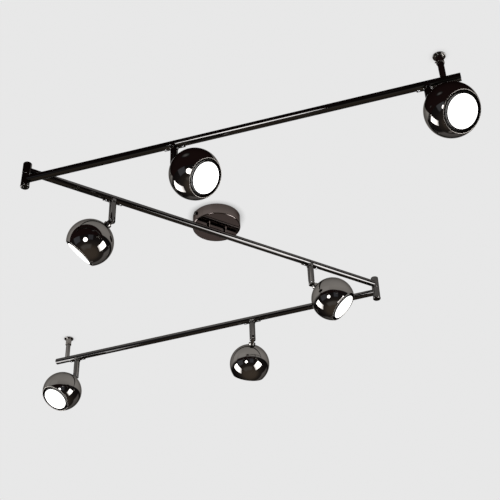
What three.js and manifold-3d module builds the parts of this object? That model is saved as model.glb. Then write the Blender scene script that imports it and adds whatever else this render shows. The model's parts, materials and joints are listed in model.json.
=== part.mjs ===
// Ceiling spotlight with six globe heads on a folding three-bar track.
// Millimetres, +Z up. The ceiling is the plane z = 0 and the origin is the middle of the
// mounting bracket, on the face that is screwed to the ceiling. The middle bar runs along X.

import * as THREE from 'three';
import { mergeVertices } from 'three/addons/utils/BufferGeometryUtils.js';
import Module from 'manifold-3d';

const wasm = await Module();
wasm.setup();

// Clearance that separate pieces keep from each other.
const GAP = 0.3;

// Bars. Heights are those of the tube axes below the ceiling.
const PIVOT_SPAN = 718;
const ARM_LENGTH = 710;
const BAR_RADIUS = 6.35;
const BAR_WALL = 1;
const MIDDLE_BAR_Z = -33;
const OUTER_BAR_Z = -51.5;
const LEFT_ARM_AZIMUTH = -48.5;
const RIGHT_ARM_AZIMUTH = 128.5;
const END_WALL = 2;

// Pivot sleeves, stacked on one vertical axis, and the bolt through both.
const SLEEVE_RADIUS = 7.25;
const SLEEVE_TOP = -18.5;
const SLEEVE_BOTTOM = -65;
const SLEEVE_SPLIT = (MIDDLE_BAR_Z + OUTER_BAR_Z) / 2;
const SLEEVE_BORE_RADIUS = 4.3;
const SLEEVE_LID = 2.5;
const BOLT_RADIUS = 4;
const BOLT_BORE_RADIUS = 2.4;
const BOLT_HEAD_RADIUS = 7.6;
const BOLT_HEAD_HEIGHT = 3;
const BOLT_WINDOW = 3.2;

// Heads: where each stem hangs, which way the head faces and how far it is tilted from
// straight down, both in degrees. Arm heads are measured along the arm from its pivot.
const NEAR_HEAD = 260;
const FAR_HEAD = 660;
const MIDDLE_HEAD = 204;
const HEADS = [
  { bar: 'left', along: FAR_HEAD, azimuth: -91.5, tilt: 46 },
  { bar: 'left', along: NEAR_HEAD, azimuth: -64, tilt: 50 },
  { bar: 'middle', along: -MIDDLE_HEAD, azimuth: 131.5, tilt: 45.5 },
  { bar: 'middle', along: MIDDLE_HEAD, azimuth: -35.5, tilt: 44.5 },
  { bar: 'right', along: NEAR_HEAD, azimuth: 70, tilt: 46 },
  { bar: 'right', along: FAR_HEAD, azimuth: -171, tilt: 33.5 },
];

// Saddle under the bar, and the stem that swivels in it.
const SADDLE_LENGTH = 34;
const SADDLE_THICKNESS = 1.4;
const SADDLE_HALF_ANGLE = 52;
const SADDLE_BOSS_RADIUS = 7;
const SADDLE_BOSS_DEPTH = 9.2;
const STEM_RADIUS = 6;
const STEM_NECK_RADIUS = 3;
const STEM_NECK_HOLE = STEM_NECK_RADIUS + GAP + 0.1;
const STEM_BORE_RADIUS = 1.8;
const STEM_TOP = -(SADDLE_BOSS_DEPTH + GAP);
const STEM_NECK_TOP = -3.2;
const HINGE_DROP = 46;
const STEM_END = -(HINGE_DROP + 5);

// Tilt hinge: a flat tongue in the slot of the stem, on a cross pin.
const TONGUE_RADIUS = 4.6;
const TONGUE_THICKNESS = 4;
const SLOT_WIDTH = TONGUE_THICKNESS + 2 * GAP;
const PIN_RADIUS = 1.6;
const PIN_HOLE_RADIUS = PIN_RADIUS + GAP;
const PIN_LENGTH = 10.8;
const COLLAR_RADIUS = 6.8;
const COLLAR_TOP = 8;
const NIPPLE_RADIUS = 4.4;

// Globe shade, open at the front, with its lamp and lampholder on the same axis.
const GLOBE_RADIUS = 40;
const GLOBE_WALL = 1;
const HINGE_TO_CENTRE = 52.5;
const OPENING_DEPTH = 25.6;
const REAR_HOLE_RADIUS = NIPPLE_RADIUS + GAP + 0.1;
const COLLAR_BOTTOM = HINGE_TO_CENTRE - GLOBE_RADIUS - GAP;
const HOLDER_RADIUS = 15.5;
const HOLDER_BACK = -33.7;
const HOLDER_FRONT = -21;
const NIPPLE_END = HINGE_TO_CENTRE + HOLDER_BACK - GAP;
const LAMP_FACE_RADIUS = 25;
const LAMP_BASE_RADIUS = 12.5;
const LAMP_FRONT = 27.2;

// Canopy, its bracket and what it covers. The bracket lies across at CANOPY_AZIMUTH.
const CANOPY_RADIUS = 43.5;
const CANOPY_HEIGHT = 22;
const CANOPY_WALL = 1.2;
const CANOPY_EDGE = 1.6;
const CANOPY_AZIMUTH = 183;
const BRACKET_HALF_LENGTH = 38.5;
const BRACKET_WIDTH = 18;
const BRACKET_THICKNESS = 1.5;
const BRACKET_EAR_DEPTH = 11;
const BRACKET_SLOT_OFFSET = 22;
const BRACKET_SLOT_LENGTH = 14;
const BRACKET_SLOT_WIDTH = 5;
const CANOPY_SCREW_Z = -6.5;
const CANOPY_SCREW_RADIUS = 1.6;
const CANOPY_SCREW_HEAD_RADIUS = 3.8;
const CANOPY_SCREW_HEAD_HEIGHT = 3;
const POST_OFFSET = 17;
const POST_RADIUS = 4;
const POST_THREAD_RADIUS = 3;
const POST_TOP = -14;
const TERMINAL_LENGTH = 26;
const TERMINAL_WIDTH = 13;
const TERMINAL_HEIGHT = 10;
const TERMINAL_OFFSET = 22.5;

// Ceiling strut near the free end of each arm: a rod, and a socket with its own flange.
const STRUT_POSITION = 685;
const ROD_RADIUS = 4.8;
const ROD_TOP = -5;
const ROD_THREAD_RADIUS = 2.5;
const SOCKET_RADIUS = 6;
const SOCKET_BORE_RADIUS = ROD_RADIUS + GAP;
const SOCKET_END = -16;
const FLANGE_RADIUS = 9.9;
const FLANGE_THICKNESS = 1.6;
const FLANGE_HOLE_RADIUS = 2.1;
const GRUB_Z = -13.4;
const GRUB_RADIUS = 1.5;
const LEFT_GRUB_AZIMUTH = 148;
const RIGHT_GRUB_AZIMUTH = 60;

// Sides of the round surfaces.
const GLOBE_SIDES = 20;
const CANOPY_SIDES = 36;
const BAR_SIDES = 16;
const SMALL_SIDES = 12;
const TINY_SIDES = 8;

const blackChrome = new THREE.MeshStandardMaterial({ color: 0x4a4442, roughness: 0.08, metalness: 1 });
const zincSteel = new THREE.MeshStandardMaterial({ color: 0xb9bbbd, roughness: 0.4, metalness: 1 });
const lampWhite = new THREE.MeshStandardMaterial({ color: 0xf6f4ee, roughness: 0.35, metalness: 0 });
const ceramic = new THREE.MeshStandardMaterial({ color: 0xe4dfd3, roughness: 0.7, metalness: 0 });
const terminalWhite = new THREE.MeshStandardMaterial({ color: 0xe8e8e4, roughness: 0.5, metalness: 0 });

const radians = THREE.MathUtils.degToRad;

// A closed geometry as a manifold solid, with coinciding corners joined and faces outward.
function solid(geometry) {
  const bare = geometry.clone();
  bare.deleteAttribute('normal');
  bare.deleteAttribute('uv');
  const merged = mergeVertices(bare, 1e-4);
  const corners = Array.from(merged.index.array);
  const points = merged.attributes.position;
  const faces = [];
  const [a, b, c] = [new THREE.Vector3(), new THREE.Vector3(), new THREE.Vector3()];
  let volume = 0;
  for (let i = 0; i < corners.length; i += 3) {
    const [p, q, r] = corners.slice(i, i + 3);
    if (p === q || q === r || r === p) continue;
    faces.push([p, q, r]);
    a.fromBufferAttribute(points, p);
    b.fromBufferAttribute(points, q);
    c.fromBufferAttribute(points, r);
    volume += a.dot(b.cross(c)) / 6;
  }
  const triVerts = faces.map((face) => (volume < 0 ? face.reverse() : face)).flat();
  const mesh = new wasm.Mesh({
    numProp: 3,
    vertProperties: new Float32Array(points.array),
    triVerts: new Uint32Array(triVerts),
  });
  return new wasm.Manifold(mesh);
}

// The vertices and triangles of a manifold solid as a flat-shaded geometry.
function geometryOf(manifold) {
  const { vertProperties, triVerts } = manifold.getMesh();
  const geometry = new THREE.BufferGeometry();
  geometry.setAttribute('position', new THREE.BufferAttribute(vertProperties, 3));
  geometry.setIndex(new THREE.BufferAttribute(triVerts, 1));
  geometry.computeVertexNormals();
  return geometry;
}

// A solid of revolution about Z from [radius, z] pairs.
function turned(profile, sides) {
  const points = profile.map(([radius, z]) => new THREE.Vector2(radius, z));
  return solid(new THREE.LatheGeometry(points, sides).rotateX(Math.PI / 2));
}

// A round rod along Z between two heights.
function rod(radius, low, high, sides) {
  const geometry = new THREE.CylinderGeometry(radius, radius, high - low, sides);
  return solid(geometry.rotateX(Math.PI / 2).translate(0, 0, (low + high) / 2));
}

// A round rod along X between two places, at height z.
function rodAlongX(radius, from, to, z, sides) {
  const geometry = new THREE.CylinderGeometry(radius, radius, to - from, sides);
  return solid(geometry.rotateZ(Math.PI / 2).translate((from + to) / 2, 0, z));
}

// A round rod along Y, centred on the Z axis at height z.
function rodAlongY(radius, length, z, sides) {
  const geometry = new THREE.CylinderGeometry(radius, radius, length, sides);
  return solid(geometry.translate(0, 0, z));
}

function block(length, width, height, x, y, z) {
  return solid(new THREE.BoxGeometry(length, width, height).translate(x, y, z));
}

function piece(name, shape, material) {
  const mesh = new THREE.Mesh(geometryOf(shape), material);
  mesh.name = name;
  return mesh;
}

// A frame inside another: moved, then turned about Z.
function frame(parent, x, y, z, azimuth = 0) {
  const group = new THREE.Group();
  group.position.set(x, y, z);
  group.rotation.z = radians(azimuth);
  parent.add(group);
  return group;
}

// The tube of a bar, with a vertical sleeve at its pivots and holes for stems and posts.
function barSolid({ from, to, z, boreFrom, boreTo, sleeves, holesBelow, holesAbove }) {
  let shape = rodAlongX(BAR_RADIUS, from, to, z, BAR_SIDES);
  for (const { x, low, high } of sleeves) {
    shape = shape.add(rod(SLEEVE_RADIUS, low, high, BAR_SIDES).translate([x, 0, 0]));
  }
  shape = shape.subtract(rodAlongX(BAR_RADIUS - BAR_WALL, boreFrom, boreTo, z, SMALL_SIDES));
  for (const { x, boreLow, boreHigh } of sleeves) {
    shape = shape.subtract(rod(SLEEVE_BORE_RADIUS, boreLow, boreHigh, SMALL_SIDES).translate([x, 0, 0]));
  }
  for (const x of holesBelow) {
    shape = shape.subtract(rod(STEM_NECK_HOLE, z - BAR_RADIUS - 1, z, TINY_SIDES).translate([x, 0, 0]));
  }
  for (const { x, radius } of holesAbove) {
    shape = shape.subtract(rod(radius, z, z + BAR_RADIUS + 1, TINY_SIDES).translate([x, 0, 0]));
  }
  return shape;
}

function middleBar() {
  const end = PIVOT_SPAN / 2;
  const sleeve = {
    low: SLEEVE_SPLIT + GAP / 2,
    high: SLEEVE_TOP,
    boreLow: SLEEVE_SPLIT - 1,
    boreHigh: SLEEVE_TOP - SLEEVE_LID,
  };
  return barSolid({
    from: -end,
    to: end,
    z: MIDDLE_BAR_Z,
    boreFrom: -end,
    boreTo: end,
    sleeves: [{ x: -end, ...sleeve }, { x: end, ...sleeve }],
    holesBelow: [-MIDDLE_HEAD, MIDDLE_HEAD],
    holesAbove: [-POST_OFFSET, POST_OFFSET].map((x) => ({ x, radius: POST_THREAD_RADIUS + GAP })),
  });
}

function outerBar() {
  const sleeve = {
    x: 0,
    low: SLEEVE_BOTTOM,
    high: SLEEVE_SPLIT - GAP / 2,
    boreLow: SLEEVE_BOTTOM - 1,
    boreHigh: SLEEVE_SPLIT + 1,
  };
  return barSolid({
    from: 0,
    to: ARM_LENGTH,
    z: OUTER_BAR_Z,
    boreFrom: 0,
    boreTo: ARM_LENGTH - END_WALL,
    sleeves: [sleeve],
    holesBelow: [NEAR_HEAD, FAR_HEAD],
    holesAbove: [{ x: STRUT_POSITION, radius: ROD_THREAD_RADIUS + GAP }],
  });
}

// Hollow bolt with a domed head below the lower sleeve; the windows let the wires through.
function pivotBolt() {
  const seat = SLEEVE_BOTTOM - GAP;
  const foot = seat - BOLT_HEAD_HEIGHT;
  const top = SLEEVE_TOP - SLEEVE_LID - GAP;
  const bore = OUTER_BAR_Z - 4;
  const outline = [
    [0, foot],
    [BOLT_HEAD_RADIUS - 2.4, foot],
    [BOLT_HEAD_RADIUS - 0.7, foot + 0.7],
    [BOLT_HEAD_RADIUS, foot + 2],
    [BOLT_HEAD_RADIUS, seat],
    [BOLT_RADIUS, seat],
    [BOLT_RADIUS, top],
    [0, top],
  ];
  let shape = turned(outline, BAR_SIDES).subtract(rod(BOLT_BORE_RADIUS, bore, top + 1, TINY_SIDES));
  for (const z of [MIDDLE_BAR_Z, OUTER_BAR_Z]) {
    shape = shape.subtract(block(3 * BOLT_RADIUS, BOLT_WINDOW, BOLT_WINDOW, 0, 0, z));
  }
  return shape;
}

// Curved plate that hugs the underside of a bar, with a flat boss for the stem.
function saddle() {
  const inner = BAR_RADIUS + GAP;
  const outer = inner + SADDLE_THICKNESS;
  const half = radians(SADDLE_HALF_ANGLE);
  const section = new THREE.Shape();
  section.absarc(0, 0, outer, -Math.PI / 2 - half, -Math.PI / 2 + half, false);
  section.absarc(0, 0, inner, -Math.PI / 2 + half, -Math.PI / 2 - half, true);
  section.closePath();
  const extrusion = new THREE.ExtrudeGeometry(section, {
    depth: SADDLE_LENGTH,
    bevelEnabled: false,
    curveSegments: 6,
  });
  const plate = extrusion.translate(0, 0, -SADDLE_LENGTH / 2).rotateX(Math.PI / 2).rotateZ(Math.PI / 2);
  const boss = rod(SADDLE_BOSS_RADIUS, -SADDLE_BOSS_DEPTH, -inner * Math.cos(half), SMALL_SIDES)
    .subtract(rodAlongX(outer - 0.4, -SADDLE_LENGTH, SADDLE_LENGTH, 0, BAR_SIDES));
  const hole = rod(STEM_NECK_HOLE, -SADDLE_BOSS_DEPTH - 1, 0, TINY_SIDES);
  return solid(plate).add(boss).subtract(hole);
}

// Stem that swivels under the saddle: a bored neck above, two ears with a slot below.
function stem() {
  const outline = [
    [0, STEM_END],
    [STEM_RADIUS - 1.6, STEM_END],
    [STEM_RADIUS - 0.4, STEM_END + 1.2],
    [STEM_RADIUS, STEM_END + 3],
    [STEM_RADIUS, STEM_TOP - 0.5],
    [STEM_RADIUS - 0.5, STEM_TOP],
    [STEM_NECK_RADIUS, STEM_TOP],
    [STEM_NECK_RADIUS, STEM_NECK_TOP],
    [0, STEM_NECK_TOP],
  ];
  const slotTop = -HINGE_DROP + TONGUE_RADIUS + 2 * GAP;
  const slotHeight = slotTop - STEM_END + 1;
  const slot = block(4 * STEM_RADIUS, SLOT_WIDTH, slotHeight, 0, 0, slotTop - slotHeight / 2);
  return turned(outline, SMALL_SIDES)
    .subtract(rod(STEM_BORE_RADIUS, slotTop - 1, 0, TINY_SIDES))
    .subtract(slot)
    .subtract(rodAlongY(PIN_HOLE_RADIUS, 4 * STEM_RADIUS, -HINGE_DROP, TINY_SIDES));
}

// Pieces of a head are drawn hanging straight down from the hinge at the origin. The depth
// along the optical axis is counted from the centre of the globe towards its opening.
function depth(along) {
  return -(HINGE_TO_CENTRE + along);
}

function hingeArm() {
  const tongue = rodAlongY(TONGUE_RADIUS, TONGUE_THICKNESS, 0, SMALL_SIDES);
  const web = block(2 * TONGUE_RADIUS, TONGUE_THICKNESS, COLLAR_TOP + 1, 0, 0, -(COLLAR_TOP + 1) / 2);
  const collar = turned(
    [
      [0, -NIPPLE_END],
      [NIPPLE_RADIUS, -NIPPLE_END],
      [NIPPLE_RADIUS, -COLLAR_BOTTOM],
      [COLLAR_RADIUS, -COLLAR_BOTTOM],
      [COLLAR_RADIUS, -COLLAR_TOP - 0.8],
      [COLLAR_RADIUS - 0.8, -COLLAR_TOP],
      [0, -COLLAR_TOP],
    ],
    SMALL_SIDES,
  );
  return tongue.add(web).add(collar).subtract(rodAlongY(PIN_HOLE_RADIUS, 2 * COLLAR_RADIUS, 0, TINY_SIDES));
}

// Points of a circular arc about the centre of the globe, from one depth to another.
function globeArc(radius, fromDepth, toDepth, steps) {
  const from = Math.acos(fromDepth / radius);
  const to = Math.acos(toDepth / radius);
  const points = [];
  for (let i = 0; i <= steps; i += 1) {
    const angle = from + ((to - from) * i) / steps;
    points.push([radius * Math.sin(angle), depth(radius * Math.cos(angle))]);
  }
  return points;
}

function shade() {
  const innerRadius = GLOBE_RADIUS - GLOBE_WALL;
  const outerRear = -Math.sqrt(GLOBE_RADIUS ** 2 - REAR_HOLE_RADIUS ** 2);
  const innerRear = -Math.sqrt(innerRadius ** 2 - REAR_HOLE_RADIUS ** 2);
  const outer = globeArc(GLOBE_RADIUS, outerRear, OPENING_DEPTH, 8);
  const inner = globeArc(innerRadius, OPENING_DEPTH, innerRear, 6);
  return turned([...outer, ...inner, outer[0]], GLOBE_SIDES);
}

function lampholder() {
  const outline = [
    [0, depth(HOLDER_FRONT)],
    [HOLDER_RADIUS - 1, depth(HOLDER_FRONT)],
    [HOLDER_RADIUS, depth(HOLDER_FRONT - 1)],
    [HOLDER_RADIUS, depth(HOLDER_BACK + 2)],
    [HOLDER_RADIUS - 2, depth(HOLDER_BACK)],
    [0, depth(HOLDER_BACK)],
  ];
  return turned(outline, SMALL_SIDES);
}

// Reflector lamp with a 50 mm face, its base against the lampholder.
function lamp() {
  const outline = [
    [0, depth(LAMP_FRONT)],
    [LAMP_FACE_RADIUS * 0.6, depth(LAMP_FRONT - 0.4)],
    [LAMP_FACE_RADIUS - 1, depth(LAMP_FRONT - 1.4)],
    [LAMP_FACE_RADIUS, depth(LAMP_FRONT - 2.4)],
    [LAMP_FACE_RADIUS, depth(LAMP_FRONT - 8)],
    [LAMP_BASE_RADIUS + 1, depth(-8)],
    [LAMP_BASE_RADIUS, depth(-10)],
    [LAMP_BASE_RADIUS, depth(HOLDER_FRONT + GAP)],
    [0, depth(HOLDER_FRONT + GAP)],
  ];
  return turned(outline, BAR_SIDES);
}

// One spotlight under a bar: the saddle stays with the bar, the stem swivels, the rest tilts.
function addHead(barFrame, barAzimuth, barZ, number, { along, azimuth, tilt }) {
  const onBar = frame(barFrame, along, 0, barZ);
  onBar.add(piece(`saddle_${number}`, saddle(), blackChrome));
  const swivel = frame(onBar, 0, 0, 0, azimuth - barAzimuth);
  swivel.add(piece(`stem_${number}`, stem(), blackChrome));
  const pin = rodAlongY(PIN_RADIUS, PIN_LENGTH, -HINGE_DROP, TINY_SIDES);
  swivel.add(piece(`hinge_pin_${number}`, pin, zincSteel));
  const hinge = frame(swivel, 0, 0, -HINGE_DROP);
  hinge.rotation.y = -radians(tilt);
  hinge.add(piece(`hinge_arm_${number}`, hingeArm(), blackChrome));
  hinge.add(piece(`shade_${number}`, shade(), blackChrome));
  hinge.add(piece(`lampholder_${number}`, lampholder(), ceramic));
  hinge.add(piece(`lamp_${number}`, lamp(), lampWhite));
}

// Rod of a ceiling strut, its foot shaped to the top of the bar and threaded into it.
function strutRod() {
  const thread = rod(ROD_THREAD_RADIUS, OUTER_BAR_Z + 3, OUTER_BAR_Z + BAR_RADIUS + 1, TINY_SIDES);
  const tube = rodAlongX(BAR_RADIUS + GAP, -2 * ROD_RADIUS, 2 * ROD_RADIUS, OUTER_BAR_Z, BAR_SIDES);
  return rod(ROD_RADIUS, OUTER_BAR_Z + 4, ROD_TOP, SMALL_SIDES).subtract(tube).add(thread);
}

function strutSocket() {
  const outline = [
    [FLANGE_HOLE_RADIUS, -FLANGE_THICKNESS],
    [SOCKET_BORE_RADIUS, -FLANGE_THICKNESS],
    [SOCKET_BORE_RADIUS, SOCKET_END],
    [SOCKET_RADIUS, SOCKET_END],
    [SOCKET_RADIUS, -FLANGE_THICKNESS],
    [FLANGE_RADIUS - 0.8, -FLANGE_THICKNESS],
    [FLANGE_RADIUS, -FLANGE_THICKNESS + 0.8],
    [FLANGE_RADIUS, 0],
    [FLANGE_HOLE_RADIUS, 0],
    [FLANGE_HOLE_RADIUS, -FLANGE_THICKNESS],
  ];
  const grubHole = rodAlongX(GRUB_RADIUS + GAP, 0, 2 * SOCKET_RADIUS, GRUB_Z, TINY_SIDES);
  return turned(outline, BAR_SIDES).subtract(grubHole);
}

function grubScrew() {
  return rodAlongX(GRUB_RADIUS, ROD_RADIUS + GAP, SOCKET_RADIUS + 2, GRUB_Z, TINY_SIDES);
}

function addStrut(armFrame, armAzimuth, side, grubAzimuth) {
  const strut = frame(armFrame, STRUT_POSITION, 0, 0);
  strut.add(piece(`${side}_strut_rod`, strutRod(), blackChrome));
  const socket = frame(strut, 0, 0, 0, grubAzimuth - armAzimuth);
  socket.add(piece(`${side}_strut_socket`, strutSocket(), blackChrome));
  socket.add(piece(`${side}_grub_screw`, grubScrew(), zincSteel));
}

// Cup that hides the bracket. Screws enter its side wall, the two bar posts its face.
function canopyCover() {
  const inner = CANOPY_RADIUS - CANOPY_WALL;
  const floor = -CANOPY_HEIGHT + CANOPY_WALL;
  const bend = CANOPY_EDGE * (1 - Math.SQRT1_2);
  const outline = [
    [0, -CANOPY_HEIGHT],
    [CANOPY_RADIUS - CANOPY_EDGE, -CANOPY_HEIGHT],
    [CANOPY_RADIUS - bend, -CANOPY_HEIGHT + bend],
    [CANOPY_RADIUS, -CANOPY_HEIGHT + CANOPY_EDGE],
    [CANOPY_RADIUS, 0],
    [inner, 0],
    [inner, floor],
    [0, floor],
  ];
  let shape = turned(outline, CANOPY_SIDES);
  for (const x of [-POST_OFFSET, POST_OFFSET]) {
    const hole = rod(POST_THREAD_RADIUS + GAP, -CANOPY_HEIGHT - 1, floor + 1, TINY_SIDES);
    shape = shape.subtract(hole.translate([x, 0, 0]));
  }
  const screwHoles = rodAlongX(
    CANOPY_SCREW_RADIUS + GAP, -CANOPY_RADIUS - 1, CANOPY_RADIUS + 1, CANOPY_SCREW_Z, TINY_SIDES,
  );
  return shape.subtract(screwHoles.rotate([0, 0, CANOPY_AZIMUTH]));
}

// Steel strap on the ceiling, with slots for the ceiling screws and an ear at each end.
function mountingBracket() {
  const length = 2 * BRACKET_HALF_LENGTH;
  let shape = block(length, BRACKET_WIDTH, BRACKET_THICKNESS, 0, 0, -BRACKET_THICKNESS / 2);
  for (const side of [-1, 1]) {
    const earX = side * (BRACKET_HALF_LENGTH - BRACKET_THICKNESS / 2);
    const ear = block(BRACKET_THICKNESS, 12, BRACKET_EAR_DEPTH, earX, 0, -BRACKET_EAR_DEPTH / 2);
    const slotX = side * BRACKET_SLOT_OFFSET;
    const reach = BRACKET_SLOT_LENGTH - BRACKET_SLOT_WIDTH;
    const end = rod(BRACKET_SLOT_WIDTH / 2, -3, 1, TINY_SIDES);
    const slot = block(reach, BRACKET_SLOT_WIDTH, 4, slotX, 0, -1)
      .add(end.translate([slotX - reach / 2, 0, 0]))
      .add(end.translate([slotX + reach / 2, 0, 0]));
    shape = shape.add(ear).subtract(slot);
  }
  const screwHoles = rodAlongX(CANOPY_SCREW_RADIUS + GAP, -length, length, CANOPY_SCREW_Z, TINY_SIDES);
  return shape.subtract(screwHoles);
}

function canopyScrew() {
  const seat = CANOPY_RADIUS + GAP;
  const tip = BRACKET_HALF_LENGTH - 4;
  const shank = rodAlongX(CANOPY_SCREW_RADIUS, tip, seat + 0.5, CANOPY_SCREW_Z, TINY_SIDES);
  const headEnd = seat + CANOPY_SCREW_HEAD_HEIGHT;
  return shank.add(rodAlongX(CANOPY_SCREW_HEAD_RADIUS, seat, headEnd, CANOPY_SCREW_Z, SMALL_SIDES));
}

// Three-pole terminal strip: a bar with three raised barrels, on the canopy's floor.
function terminalBlock() {
  const floor = -CANOPY_HEIGHT + CANOPY_WALL + GAP;
  const pitch = TERMINAL_LENGTH / 3;
  const baseHeight = TERMINAL_HEIGHT * 0.6;
  const barrelHeight = TERMINAL_HEIGHT - 1;
  const barrelZ = floor + 1 + barrelHeight / 2;
  let shape = block(TERMINAL_LENGTH, TERMINAL_WIDTH, baseHeight, 0, 0, floor + baseHeight / 2);
  for (const x of [-pitch, 0, pitch]) {
    shape = shape.add(block(pitch * 0.7, TERMINAL_WIDTH - 4, barrelHeight, x, 0, barrelZ));
  }
  return shape.translate([0, TERMINAL_OFFSET, 0]);
}

// Short threaded post that carries the bar under the canopy, bored for the wires.
function barPost() {
  const top = -CANOPY_HEIGHT - GAP;
  const collar = rod(POST_RADIUS, MIDDLE_BAR_Z + 4, top, SMALL_SIDES)
    .subtract(rodAlongX(BAR_RADIUS + GAP, -2 * POST_RADIUS, 2 * POST_RADIUS, MIDDLE_BAR_Z, BAR_SIDES));
  return collar
    .add(rod(POST_THREAD_RADIUS, MIDDLE_BAR_Z + 3, POST_TOP, TINY_SIDES))
    .subtract(rod(STEM_BORE_RADIUS, MIDDLE_BAR_Z, POST_TOP + 1, TINY_SIDES));
}

const fixture = new THREE.Group();

fixture.add(piece('middle_bar', middleBar(), blackChrome));
fixture.add(piece('canopy_cover', canopyCover(), blackChrome));
for (const [side, x] of [['left', -POST_OFFSET], ['right', POST_OFFSET]]) {
  frame(fixture, x, 0, 0).add(piece(`bar_post_${side}`, barPost(), blackChrome));
}

const bracketFrame = frame(fixture, 0, 0, 0, CANOPY_AZIMUTH);
bracketFrame.add(piece('mounting_bracket', mountingBracket(), zincSteel));
bracketFrame.add(piece('terminal_block', terminalBlock(), terminalWhite));
bracketFrame.add(piece('canopy_screw_left', canopyScrew(), blackChrome));
frame(bracketFrame, 0, 0, 0, 180).add(piece('canopy_screw_right', canopyScrew(), blackChrome));

const ARMS = {
  left: { pivotX: -PIVOT_SPAN / 2, azimuth: LEFT_ARM_AZIMUTH, grubAzimuth: LEFT_GRUB_AZIMUTH },
  right: { pivotX: PIVOT_SPAN / 2, azimuth: RIGHT_ARM_AZIMUTH, grubAzimuth: RIGHT_GRUB_AZIMUTH },
};
const bars = { middle: { group: fixture, azimuth: 0, z: MIDDLE_BAR_Z } };
for (const [side, { pivotX, azimuth, grubAzimuth }] of Object.entries(ARMS)) {
  const arm = frame(fixture, pivotX, 0, 0, azimuth);
  arm.add(piece(`${side}_outer_bar`, outerBar(), blackChrome));
  frame(fixture, pivotX, 0, 0).add(piece(`${side}_pivot_bolt`, pivotBolt(), blackChrome));
  addStrut(arm, azimuth, side, grubAzimuth);
  bars[side] = { group: arm, azimuth, z: OUTER_BAR_Z };
}

HEADS.forEach((head, index) => {
  const bar = bars[head.bar];
  addHead(bar.group, bar.azimuth, bar.z, index + 1, head);
});

export default fixture;
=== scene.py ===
"""Ceiling spotlight in black chrome: six globe heads on a folding track of three round bars."""

import json
import math

import bmesh
import bpy
from mathutils import Matrix, Vector

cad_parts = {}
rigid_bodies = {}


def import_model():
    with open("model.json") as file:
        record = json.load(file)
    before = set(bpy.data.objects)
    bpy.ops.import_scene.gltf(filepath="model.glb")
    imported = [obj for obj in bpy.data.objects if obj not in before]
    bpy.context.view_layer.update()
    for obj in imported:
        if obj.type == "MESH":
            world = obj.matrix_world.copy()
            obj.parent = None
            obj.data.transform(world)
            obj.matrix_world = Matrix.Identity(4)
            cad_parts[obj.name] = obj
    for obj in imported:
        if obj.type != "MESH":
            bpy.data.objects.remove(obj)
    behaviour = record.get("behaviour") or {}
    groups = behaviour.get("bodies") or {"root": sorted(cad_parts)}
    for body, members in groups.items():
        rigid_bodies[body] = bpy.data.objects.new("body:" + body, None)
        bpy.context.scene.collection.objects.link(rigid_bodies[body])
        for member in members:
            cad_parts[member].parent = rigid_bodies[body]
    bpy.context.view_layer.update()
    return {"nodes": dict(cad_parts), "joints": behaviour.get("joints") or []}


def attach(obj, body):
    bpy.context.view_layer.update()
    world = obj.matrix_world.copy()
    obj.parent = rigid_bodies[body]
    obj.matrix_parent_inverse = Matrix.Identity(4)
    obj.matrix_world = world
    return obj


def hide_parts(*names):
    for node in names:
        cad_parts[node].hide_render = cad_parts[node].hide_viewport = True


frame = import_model()

# Sizes are in millimetres in the code that makes meshes, and the meshes come out in metres.
MM = 0.001

# Bars and pivots. Heights are below the ceiling, which is the plane z = 0.
BAR_RADIUS = 6.35
MIDDLE_BAR_Z = -33
OUTER_BAR_Z = -51.5
SLEEVE_RADIUS = 7.25
SLEEVE_TOP = -18.5
SLEEVE_BOTTOM = -65
SLEEVE_SPLIT = (MIDDLE_BAR_Z + OUTER_BAR_Z) / 2
SLEEVE_GAP = 0.3
SLEEVE_BORE = 4.4
SLEEVE_LID = 2.5
BOLT_RADIUS = 4
BOLT_HEAD_RADIUS = 7.6
BOLT_HEAD_HEIGHT = 3

# Saddle and stem, counted from the axis of the bar.
SADDLE_LENGTH = 34
SADDLE_INNER = BAR_RADIUS + 0.15
SADDLE_OUTER = BAR_RADIUS + 1.7
SADDLE_HALF_ANGLE = math.radians(52)
SADDLE_BOSS_RADIUS = 7
SADDLE_BOSS_DEPTH = 9.2
SADDLE_SCREW_OFFSET = 13.6
STEM_RADIUS = 6
STEM_NECK_RADIUS = 3
STEM_TOP = -9.5
HINGE_DROP = 46
STEM_END = -(HINGE_DROP + 5)
SLOT_WIDTH = 4.6
PIN_RADIUS = 1.6

# Head, with the hinge at its origin and its optical axis straight down.
TONGUE_RADIUS = 4.6
TONGUE_THICKNESS = 4
COLLAR_RADIUS = 6.8
COLLAR_TOP = 8
NIPPLE_RADIUS = 4.4
GLOBE_RADIUS = 40
GLOBE_WALL = 1
HINGE_TO_CENTRE = 52.5
OPENING_DEPTH = 25.6
LINER_DEPTH = 9
LINER_STEP = 5.4
LINER_SHOULDER_RADIUS = 27.3
LAMP_RADIUS = 25
LAMP_FRONT = 27.2
LAMP_COLLAR = 3
LAMP_WAIST_RADIUS = 14.2
LAMP_BASE_RADIUS = 12.5
LAMP_FINS = 24
HOLDER_RADIUS = 15.5
HOLDER_BACK = -33.7
HOLDER_FRONT = -21

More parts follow.
